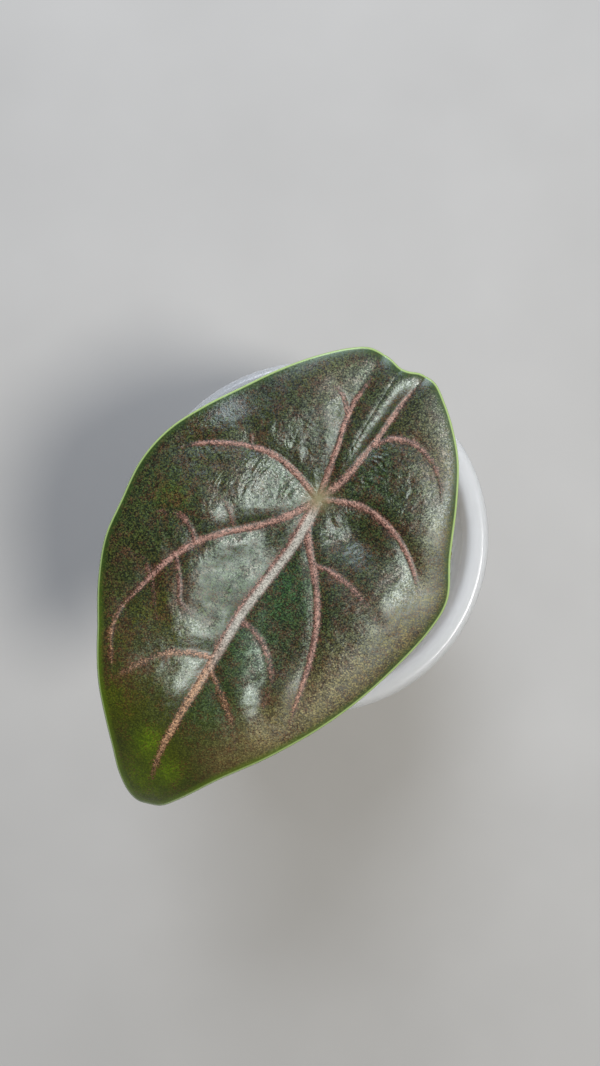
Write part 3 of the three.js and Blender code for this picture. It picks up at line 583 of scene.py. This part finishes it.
    # Fine creases between the pleats, and each cell's dome tilts its own way, which breaks the sheen up
    # into grains
    gloss = add(tree, "MapRange", {"Value": chance, "To Min": 0.27, "To Max": 0.4}).outputs[0]
    for share, rougher in ((vein, 0.22), (tan, 0.14), (dull, 0.14)):
        gloss = add(tree, "Math", {0: share, 1: rougher, 2: gloss}, operation="MULTIPLY_ADD").outputs[0]
    folds = add(tree, "TexNoise", {
        "Vector": place, "Scale": 1 / (1.3 * MM), "Detail": 2, "Distortion": 0.4}).outputs["Fac"]
    folds = add(tree, "Math", {0: folds, 1: 0.5}, operation="SUBTRACT").outputs[0]
    folds = add(tree, "Math", {0: folds}, operation="ABSOLUTE").outputs[0]
    firm = add(tree, "MapRange", {
        "Value": pleated, "From Max": 0.8, "To Min": 0.12, "To Max": 0.75}).outputs[0]
    upright = add(tree, "Bump", {
        "Strength": firm, "Distance": 0.22 * MM, "Height": folds}).outputs[0]
    centred = add(tree, "VectorMath", {0: cells.outputs["Color"], 1: (0.5, 0.5, 0.5)},
                  operation="SUBTRACT").outputs[0]
    tilted = add(tree, "VectorMath", {0: centred, 1: (0.1, 0.1, 0.1), 2: upright},
                 operation="MULTIPLY_ADD").outputs[0]
    bump = add(tree, "VectorMath", {0: tilted}, operation="NORMALIZE").outputs[0]
    shader = add(tree, "BsdfPrincipled", {
        "Base Color": body, "Roughness": gloss, "Normal": bump, "IOR": 1.5, "Specular IOR Level": 0.74,
        "Specular Tint": linear("#e0eee9"), "Sheen Weight": 0.03, "Sheen Roughness": 0.4,
        "Sheen Tint": linear("#a9c4c0")})
    add(tree, "OutputMaterial", {"Surface": shader.outputs[0]})
    return material


def leaf_underside():
    """The lower face: smooth and wine-red, mottled, with paler ribs and a green edge."""
    material, tree, place = new_material("leaf_underside")
    vein, margin = (add(tree, "Attribute", attribute_name=name).outputs["Fac"]
                    for name in ("vein", "margin"))
    mottle = add(tree, "TexNoise", {"Vector": place, "Scale": 1 / (1.8 * MM), "Detail": 4}).outputs["Fac"]
    body = add(tree, "Mix", {0: mottle, 6: linear("#3d1c26"), 7: linear("#6b3541")},
               data_type="RGBA").outputs[2]
    rib = add(tree, "Math", {0: vein, 1: 0.8}, operation="MULTIPLY").outputs[0]
    body = add(tree, "Mix", {0: rib, 6: body, 7: linear("#93606a")}, data_type="RGBA").outputs[2]
    edge = add(tree, "MapRange", {"Value": margin, "From Min": 1.6, "From Max": 0.2}).outputs[0]
    body = add(tree, "Mix", {0: edge, 6: body, 7: linear("#5d6b33")}, data_type="RGBA").outputs[2]
    bump = add(tree, "Bump", {"Strength": 0.25, "Distance": 0.3 * MM, "Height": mottle}).outputs[0]
    shader = add(tree, "BsdfPrincipled", {
        "Base Color": body, "Normal": bump, "Roughness": 0.48, "IOR": 1.45, "Specular IOR Level": 0.45})
    add(tree, "OutputMaterial", {"Surface": shader.outputs[0]})
    return material


# Cup

def wall_radius(z):
    """The cup's inner radius at a height."""
    inner_base = CUP["base"] - CUP["wall"]
    return inner_base + (CUP["mouth"] - inner_base) * (z - CUP["floor"]) / (CUP["height"] - CUP["floor"])


def clear_plastic():
    """Clear polypropylene, injection moulded: see-through, with a soft gloss and a milky haze that thickens
    in the lip and where the wall is seen edge-on, and clears where damp moss wets the wall."""
    material, tree, place = new_material("clear_polypropylene")
    flow = add(tree, "TexNoise", {"Vector": place, "Scale": 1 / (5 * MM), "Detail": 3}).outputs["Fac"]
    gloss = add(tree, "MapRange", {"Value": flow, "To Min": 0.12, "To Max": 0.26}).outputs[0]
    waves = add(tree, "Bump", {"Strength": 0.12, "Distance": 0.4 * MM, "Height": flow}).outputs[0]
    edge_on = add(tree, "LayerWeight", {"Blend": 0.3}).outputs["Facing"]
    haze = add(tree, "MapRange", {"Value": edge_on, "To Min": 0.1, "To Max": 0.95}).outputs[0]
    up = add(tree, "SeparateXYZ", {"Vector": place}).outputs["Z"]
    dry = add(tree, "MapRange", {
        "Value": up, "From Min": 63 * MM, "From Max": 69 * MM, "To Min": 0.3}).outputs[0]
    haze = add(tree, "Math", {0: haze, 1: dry}, operation="MULTIPLY").outputs[0]
    thick = add(tree, "MapRange", {
        "Value": up, "From Min": 68 * MM, "From Max": 76 * MM, "To Max": 0.66}).outputs[0]
    haze = add(tree, "Math", {0: haze, 1: thick}, operation="MAXIMUM").outputs[0]
    body = add(tree, "BsdfPrincipled", {
        "Base Color": linear("#f4f5f4"), "Roughness": gloss, "Normal": waves, "IOR": 1.49,
        "Subsurface Weight": 0.8, "Subsurface Radius": (1, 1, 1), "Subsurface Scale": 4 * MM})
    clear = add(tree, "BsdfTransparent", {"Color": linear("#f4f6f6")})
    plastic = add(tree, "MixShader", {0: haze, 1: clear.outputs[0], 2: body.outputs[0]})
    add(tree, "OutputMaterial", {"Surface": plastic.outputs[0]})
    return material


HEEL, LIP, FILLET = 1.7, 1.9, 2.0  # radii of the cup's heel, rolled lip and inner corner
LEVELS = (12, 30, 50, 66)  # heights of the rings along its wall


def arc(centre, radius, start, end, steps):
    """Points of a round stretch of the cup's section, from one angle to another in degrees."""
    angles = np.radians(np.linspace(start, end, steps))
    return [(centre[0] + radius * math.cos(a), centre[1] + radius * math.sin(a)) for a in angles]


def make_cup(plastic):
    """The cup: base and wall from outside, up under the lip, round its skirt and down the inside."""
    rim, base, height, wall, floor = (CUP[key] for key in ("rim", "base", "height", "wall", "floor"))
    inside, hem = wall_radius(height), height - CUP["skirt"]
    section = [(0, 0), (base - 2 * HEEL, 0.0), *arc((base - HEEL, HEEL), HEEL, -90, -8, 6)]
    section += [(wall_radius(z) + wall, z) for z in (*LEVELS, height - 4.2, height - 2.6)]
    section += [(inside + wall + 0.9, height - 1.5), (rim - 1.9, height - 1.2), (rim - 1.1, height - 1.7)]
    section += [(rim - 0.9, height - 2.6), (rim - 0.9, hem + 0.2), (rim - 0.7, hem), (rim - 0.2, hem)]
    section += [(rim, hem + 0.3), *arc((rim - LIP, height - LIP), LIP, 0, 90, 9)]
    section += [(rim - 3.4, height - 0.12), (inside + 0.9, height - 0.55), (inside + 0.25, height - 1.2)]
    section += [(wall_radius(z), z) for z in (height - 2.2, *LEVELS[::-1], 2 * FILLET)]
    section += [*arc((wall_radius(2 * FILLET) - FILLET - 0.2, floor + FILLET), FILLET, -5, -90, 6)]
    section += [(0, floor)]
    points, faces = turned(section, 192)
    cup = make_piece("cup", points, faces, [plastic], ["pot"])
    drills = []
    for i in range(DRAIN_HOLES):
        angle = 2 * math.pi * (i + 0.5) / DRAIN_HOLES
        centre = DRAIN_CIRCLE * math.cos(angle) * MM, DRAIN_CIRCLE * math.sin(angle) * MM, floor / 2 * MM
        bpy.ops.mesh.primitive_cylinder_add(vertices=40, radius=DRAIN_RADIUS * MM, depth=4 * floor * MM,
                                            location=centre)
        drills.append(bpy.context.object)
    holes = bpy.data.collections.new("drain_holes")
    bpy.context.scene.collection.children.link(holes)
    for drill in drills:
        holes.objects.link(drill)
    cut = cup.modifiers.new("drain_holes", "BOOLEAN")
    cut.operation, cut.operand_type, cut.collection, cut.solver = "DIFFERENCE", "COLLECTION", holes, "EXACT"
    bpy.context.view_layer.objects.active = cup
    bpy.ops.object.modifier_apply(modifier=cut.name)
    for drill in drills:
        bpy.data.objects.remove(drill)
    bpy.data.collections.remove(holes)
    cup.data.set_sharp_from_angle(angle=math.radians(35))


# Moss

MOSS_GAP = 0.3
FIBRE_POINTS, FIBRE_SIDES = 13, 5
TOP_FIBRES, WALL_FIBRES = 1150, 1450
CORM_HOLE = 4.6


def moss_height(x, y):
    reach = np.hypot(x, y) / CUP["mouth"]
    hummocks = (np.sin(0.62 * x + 1.1) * np.cos(0.55 * y - 0.4) + 0.7 * np.sin(0.47 * (x + y) + 2.3)
                + 0.6 * np.cos(0.9 * x - 0.5 * y))
    return MOSS_TOP + MOSS_CROWN * (1 - reach**2) + MOSS_BUMP * hummocks / 2


def dried_sphagnum(name, dark, light, green):
    """Dried long-fibre sphagnum: straw to tan strands, matt, each a little lighter or darker than the
    next."""
    material, tree, place = new_material(name)
    strand = add(tree, "Attribute", attribute_name="strand").outputs["Fac"]
    leafy = add(tree, "TexNoise", {"Vector": place, "Scale": 1 / (0.8 * MM), "Detail": 4}).outputs["Fac"]
    patch = add(tree, "TexNoise", {"Vector": place, "Scale": 1 / (9 * MM)}).outputs["Fac"]
    body = add(tree, "Mix", {0: strand, 6: linear(dark), 7: linear(light)},
               data_type="RGBA").outputs[2]
    fresh = add(tree, "MapRange", {
        "Value": strand, "From Min": 0.84, "From Max": 0.88, "To Max": 0.6}).outputs[0]
    body = add(tree, "Mix", {0: fresh, 6: body, 7: linear(green)}, data_type="RGBA").outputs[2]
    for amount in (leafy, patch):
        share = add(tree, "MapRange", {
            "Value": amount, "From Min": 0.6, "From Max": 0.35, "To Max": 0.6}).outputs[0]
        body = add(tree, "Mix", {0: share, 6: body, 7: linear(dark)}, data_type="RGBA").outputs[2]
    bump = add(tree, "Bump", {"Strength": 0.7, "Distance": 0.4 * MM, "Height": leafy}).outputs[0]
    shader = add(tree, "BsdfPrincipled", {
        "Base Color": body, "Normal": bump, "Roughness": 0.9, "IOR": 1.4, "Specular IOR Level": 0.2,
        "Sheen Weight": 0.25, "Sheen Tint": linear("#e8dcc0")})
    add(tree, "OutputMaterial", {"Surface": shader.outputs[0]})
    return material


def make_moss_body(material):
    """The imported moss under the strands, from the corm's hole out to the wall and down to the floor."""
    columns = 220
    angles = np.linspace(0, 2 * math.pi, columns, endpoint=False)
    base = CUP["floor"] + MOSS_GAP
    edge = wall_radius(MOSS_TOP) - MOSS_GAP - 0.9
    rows = [(r, None) for r in np.linspace(0.6, edge, 44)]
    rows += [(wall_radius(z) - MOSS_GAP - 0.5, z) for z in np.linspace(MOSS_TOP - 1.4, base + 1, 40)]
    rows += [(wall_radius(base) - MOSS_GAP - 1.6, base), (12, base)]
    points = []
    for radius, z in rows:
        x, y = radius * np.cos(angles), radius * np.sin(angles)
        if z is None:
            height = moss_height(x, y) - 0.8 + 0.5 * ripples(x, y, 1.6, 21)
            dip = 2.5 * (1 - smooth_step(np.hypot(x, y), CORM_HOLE - 1, CORM_HOLE + 1.5))
            points.append(np.stack([x, y, height - dip], axis=1))
        else:
            round_wall = angles * radius
            dent = 0.4 * ripples(round_wall, np.full(columns, z), 1.8, 22) - 0.2 if base < z else 0
            points.append(np.stack([(radius + dent) * np.cos(angles), (radius + dent) * np.sin(angles),
                                    np.full(columns, float(z))], axis=1))
    count = len(points)
    points = np.vstack(points + [[0, 0, moss_height(0, 0) - 3.3], [0, 0, base]])
    faces = grid_faces(count, columns).tolist()
    top, bottom, last = len(points) - 2, len(points) - 1, (count - 1) * columns
    for j in range(columns):
        after = (j + 1) % columns
        faces += [(top, j, after), (bottom, last + after, last + j)]
    body = make_piece("moss_body", points, faces, [material], ["moss"])
    store(body, "strand", 0.25 + 0.2 * ripples(points[:, 0], points[:, 1] + points[:, 2], 1.5, 23))


def top_course():
    """A strand lying on the moss, its ends tucked in."""
    while True:
        start = random.uniform(-38, 38, 2)
        if CORM_HOLE < np.hypot(*start) < 36.5:
            break
    heading, bend = random.uniform(0, 2 * math.pi), random.normal(0, 0.16)
    length = random.uniform(7, 24)
    step = length / (FIBRE_POINTS - 1)
    place, course = start.copy(), []
    lift = random.uniform(-0.2, 1.5)
    for i in range(FIBRE_POINTS):
        share = i / (FIBRE_POINTS - 1)
        arch, tuck = lift * math.sin(math.pi * share) ** 0.7, 1.1 * abs(2 * share - 1) ** 3
        height = moss_height(*place) + arch - tuck
        course.append([*place, height])
        heading += bend + random.normal(0, 0.14)
        place = place + step * np.array([math.cos(heading), math.sin(heading)])
        reach = np.hypot(*place)
        limit = wall_radius(height) - MOSS_GAP - 0.9
        if reach > limit:
            place *= limit / reach
            heading += 0.6
        if reach < CORM_HOLE:
            place *= CORM_HOLE / max(reach, 0.1)
    return np.array(course)


def wall_course():
    """A strand pressed against the cup's wall."""
    angle, z = random.uniform(0, 2 * math.pi), random.uniform(CUP["floor"] + 2, MOSS_TOP - 0.5)
    heading, bend = random.uniform(0, 2 * math.pi), random.normal(0, 0.12)
    step = random.uniform(7, 20) / (FIBRE_POINTS - 1)
    depth = random.uniform(0, 0.5)
    course = []
    for i in range(FIBRE_POINTS):
        share = i / (FIBRE_POINTS - 1)
        radius = wall_radius(z) - MOSS_GAP - 0.55 - depth - 0.8 * abs(2 * share - 1) ** 4
        course.append([radius * math.cos(angle), radius * math.sin(angle), z])
        heading += bend + random.normal(0, 0.12)
        angle += step * math.cos(heading) / radius
        z = float(np.clip(z + step * math.sin(heading), CUP["floor"] + 1.4, MOSS_TOP + 0.6))
    return np.array(course)


def make_fibres(name, count, course_of, material):
    """Many strands in one piece, each furred with overlapping scale leaves."""
    points, faces, tones, start = [], [], [], 0
    for _ in range(count):
        course = course_of()
        girth = random.uniform(0.26, 0.52)
        share = np.linspace(0, 1, FIBRE_POINTS)
        scales = 1 + 0.28 * (np.arange(FIBRE_POINTS) % 2) + random.uniform(-0.1, 0.1, FIBRE_POINTS)
        radii = girth * scales * (0.35 + 0.65 * np.sin(math.pi * share) ** 0.5)
        strand, sides = tube(course, radii, FIBRE_SIDES, start)
        points.append(strand)
        faces += sides
        tones.append(np.full(len(strand), random.uniform(0, 1)))
        start += len(strand)
    fibres = make_piece(name, np.vstack(points), faces, [material])
    store(fibres, "strand", np.concatenate(tones))


# Corm and stalk

ROOTS = 9


def corm_skin():
    """Corm tunic: brown, papery and ringed by old leaf scars."""
    material, tree, place = new_material("corm_tunic")
    flattened = add(tree, "Mapping", {"Vector": place, "Scale": (1, 1, 5)}).outputs[0]
    fibre = add(tree, "TexNoise", {"Vector": flattened, "Scale": 1 / (3 * MM), "Detail": 5}).outputs["Fac"]
    body = add(tree, "Mix", {0: fibre, 6: linear("#3a2418"), 7: linear("#9a7148")},
               data_type="RGBA").outputs[2]
    bump = add(tree, "Bump", {"Strength": 0.6, "Distance": 0.5 * MM, "Height": fibre}).outputs[0]
    shader = add(tree, "BsdfPrincipled", {
        "Base Color": body, "Normal": bump, "Roughness": 0.82, "IOR": 1.45, "Specular IOR Level": 0.25})
    add(tree, "OutputMaterial", {"Surface": shader.outputs[0]})
    return material


def root_skin():
    """Fleshy root: pale cream, tan where it has aged."""
    material, tree, place = new_material("root_skin")
    ageing = add(tree, "TexNoise", {"Vector": place, "Scale": 1 / (4 * MM), "Detail": 4}).outputs["Fac"]
    body = add(tree, "Mix", {0: ageing, 6: linear("#e3d9bd"), 7: linear("#a5855a")},
               data_type="RGBA").outputs[2]
    shader = add(tree, "BsdfPrincipled", {
        "Base Color": body, "Roughness": 0.55, "IOR": 1.42, "Subsurface Weight": 0.15,
        "Subsurface Scale": 0.5 * MM})
    add(tree, "OutputMaterial", {"Surface": shader.outputs[0]})
    return material


def make_corm(tunic, root):
    """The corm with its leaf scars, and the roots that run out and down along the cup's wall."""
    tall = CORM_CROWN - CORM_FOOT
    section = [(0, 0), (0.4, 0.01), (0.72, 0.07), (0.93, 0.22), (1, 0.4)]
    profile = [(CORM_RADIUS * r, CORM_FOOT + tall * z) for r, z in section]
    for ring in range(7):
        z = 0.44 + 0.07 * ring
        radius = CORM_RADIUS + (CORM_NECK - CORM_RADIUS) * smooth_step(z, 0.5, 0.98)
        profile += [(radius * 1.02, CORM_FOOT + tall * z), (radius * 0.94, CORM_FOOT + tall * (z + 0.035))]
    profile += [(CORM_NECK, CORM_CROWN - 0.4), (CORM_NECK - 0.5, CORM_CROWN), (0, CORM_CROWN)]
    points, faces = turned(profile, 48)
    make_piece("corm_body", points, faces, [tunic], ["corm"])
    runs, skins, start = [], [], 0
    for i in range(ROOTS):
        angle = 2 * math.pi * i / ROOTS + 0.35 * math.sin(5 * i)
        course = [(3, 50 - i % 3), (9, 49 - i % 4), (20, 44 - 2 * (i % 3))]
        reach_wall = 30 - 3 * (i % 4)
        course += [(wall_radius(reach_wall) - 3, reach_wall + 3),
                   (wall_radius(reach_wall - 6) - 1.0, reach_wall - 6),
                   (wall_radius(10) - 1.0, 10 + i % 3), (wall_radius(4) - 2.5, 4.5)]
        knots = []
        for step, (radius, z) in enumerate(course):
            turn = angle + 0.16 * step * math.sin(2.3 * i) + 0.1 * math.sin(3 * step + i)
            knots.append((radius * math.cos(turn), radius * math.sin(turn), z))
        line = smooth_line(knots, 60)
        girth = np.linspace(0.85, 0.45, len(line)) * (1 + 0.06 * np.sin(np.arange(len(line)) * 1.7 + i))
        run, skin = tube(line, girth, 8, start)
        runs.append(run)
        skins += skin
        start += len(run)
    make_piece("roots", np.vstack(runs), skins, [root])


def stalk_skin():
    """Leaf stalk: smooth, brown-pink over green, finely streaked along its length, with a soft gloss."""
    material, tree, place = new_material("stalk_skin")
    drawn_out = add(tree, "Mapping", {"Vector": place, "Scale": (1, 1, 0.12)}).outputs[0]
    streaks = add(tree, "TexNoise", {
        "Vector": drawn_out, "Scale": 1 / (0.6 * MM), "Detail": 3}).outputs["Fac"]
    height = add(tree, "SeparateXYZ", {"Vector": place}).outputs["Z"]
    upper = add(tree, "MapRange", {"Value": height, "From Min": 70 * MM, "From Max": 125 * MM}).outputs[0]
    body = add(tree, "Mix", {0: upper, 6: linear("#6f7a4a"), 7: linear("#8f5f55")},
               data_type="RGBA").outputs[2]
    streaked = add(tree, "MapRange", {
        "Value": streaks, "From Min": 0.35, "From Max": 0.7, "To Max": 0.7}).outputs[0]
    body = add(tree, "Mix", {0: streaked, 6: body, 7: linear("#5a2f33")},
               data_type="RGBA").outputs[2]
    bump = add(tree, "Bump", {"Strength": 0.3, "Distance": 0.15 * MM, "Height": streaks}).outputs[0]
    shader = add(tree, "BsdfPrincipled", {
        "Base Color": body, "Normal": bump, "Roughness": 0.38, "IOR": 1.45, "Subsurface Weight": 0.08,
        "Subsurface Scale": 0.6 * MM})
    add(tree, "OutputMaterial", {"Surface": shader.outputs[0]})
    return material


def make_stalk(skin):
    """The leaf stalk, bowed up to the hub, with a grooved sheath round its foot."""
    course = smooth_line([
        (0, 0, CORM_CROWN - 2), (0.1, 0.6, CORM_CROWN + 8), (0.9, 5.5, 95), (0.3, 10.6, 120),
        (-1.9, 11, 135), (HUB[0], HUB[1] + 1.6, HUB[2] - 3.4), (HUB[0], HUB[1], HUB[2] - 0.9)], 150)
    share = np.linspace(0, 1, len(course))[:, None]
    sides = 40
    angle = np.linspace(0, 2 * math.pi, sides, endpoint=False)[None, :]
    groove_at = 0.25 * math.pi
    apart = np.abs(np.arctan2(np.sin(angle - groove_at), np.cos(angle - groove_at)))
    sheath = 1 - smooth_step(share, 0.6 * SHEATH_SHARE, SHEATH_SHARE)
    groove = 0.34 * np.exp(-((apart / 0.4) ** 2))
    lips = 0.2 * np.exp(-(((apart - 0.9) / 0.35) ** 2))
    flare = 0.5 * smooth_step(share, 0.965, 1)
    plain = STALK_FOOT + (STALK_TOP - STALK_FOOT) * share**0.7
    radii = plain * (1 + sheath * (0.12 - groove + lips)) + flare
    points, faces = tube(course[5:], radii[5:], sides)
    make_piece("stalk", points, faces, [skin], ["petiole"])


# Assembly

make_leaf(leaf_cuticle(), leaf_underside())
make_cup(clear_plastic())
straw = dried_sphagnum("dried_sphagnum", "#7d6440", "#d8bf8e", "#9aa45c")
make_moss_body(dried_sphagnum("packed_sphagnum", "#6b5534", "#bfa374", "#878b4e"))
make_fibres("moss_strands", TOP_FIBRES, top_course, straw)
make_fibres("moss_at_wall", WALL_FIBRES, wall_course, straw)
make_corm(corm_skin(), root_skin())
make_stalk(stalk_skin())


# Floor, light and camera. The picture's right and up on the floor, for a camera that looks straight down.

RIGHT = Vector((0.872, 0.489, 0))
UP = Vector((-0.489, 0.872, 0))
CAMERA_PLACE = Vector((-3.5, -0.5, 324)) * MM
SENSOR, LENS = 36, 32.4


def make_floor():
    material, tree, place = new_material("floor_matt_grey")
    cloud = add(tree, "TexNoise", {"Vector": place, "Scale": 14, "Detail": 3}).outputs["Fac"]
    body = add(tree, "Mix", {0: cloud, 6: linear("#bdbbb7"), 7: linear("#cfcdc9")},
               data_type="RGBA").outputs[2]
    shader = add(tree, "BsdfPrincipled", {
        "Base Color": body, "Roughness": 0.75, "Specular IOR Level": 0.2})
    add(tree, "OutputMaterial", {"Surface": shader.outputs[0]})
    bpy.ops.mesh.primitive_plane_add(size=5)
    floor = bpy.context.object
    floor.name = "floor"
    floor.data.materials.append(material)


def make_light(name, direction, distance, size, watts, colour):
    lamp = bpy.data.lights.new(name, "AREA")
    lamp.shape, lamp.size, lamp.energy = "DISK", size, watts
    lamp.color = linear(colour)[:3]
    holder = bpy.data.objects.new(name, lamp)
    bpy.context.scene.collection.objects.link(holder)
    towards = direction.normalized()
    holder.location = towards * distance + Vector((0, 0, 0.12))
    holder.rotation_mode = "QUATERNION"
    holder.rotation_quaternion = towards.to_track_quat("Z", "Y")


def make_sky(colour, strength):
    world = bpy.data.worlds.new("room_light")
    world.use_nodes = True
    background = world.node_tree.nodes["Background"]
    background.inputs["Color"].default_value = linear(colour)
    background.inputs["Strength"].default_value = strength
    bpy.context.scene.world = world


def make_camera():
    lens = bpy.data.cameras.new("camera")
    lens.sensor_width, lens.lens = SENSOR, LENS
    lens.clip_start, lens.clip_end = 0.01, 20
    camera = bpy.data.objects.new("camera", lens)
    bpy.context.scene.collection.objects.link(camera)
    camera.matrix_world = Matrix.Translation(CAMERA_PLACE) @ Matrix((
        (RIGHT.x, UP.x, 0), (RIGHT.y, UP.y, 0), (0, 0, 1))).to_4x4()
    bpy.context.scene.camera = camera


make_floor()
make_light("near_window", RIGHT * 0.34 + UP * -0.14 + Vector((0, 0, 0.92)), 1.0, 0.22, 6.5, "#fffdf9")
make_light("far_window", RIGHT * -0.07 + UP * 0.68 + Vector((0, 0, 0.73)), 0.75, 0.4, 4.1, "#e9f1ff")
make_sky("#f0f1f2", 0.09)
make_camera()
bpy.context.scene.view_settings.view_transform = "Standard"
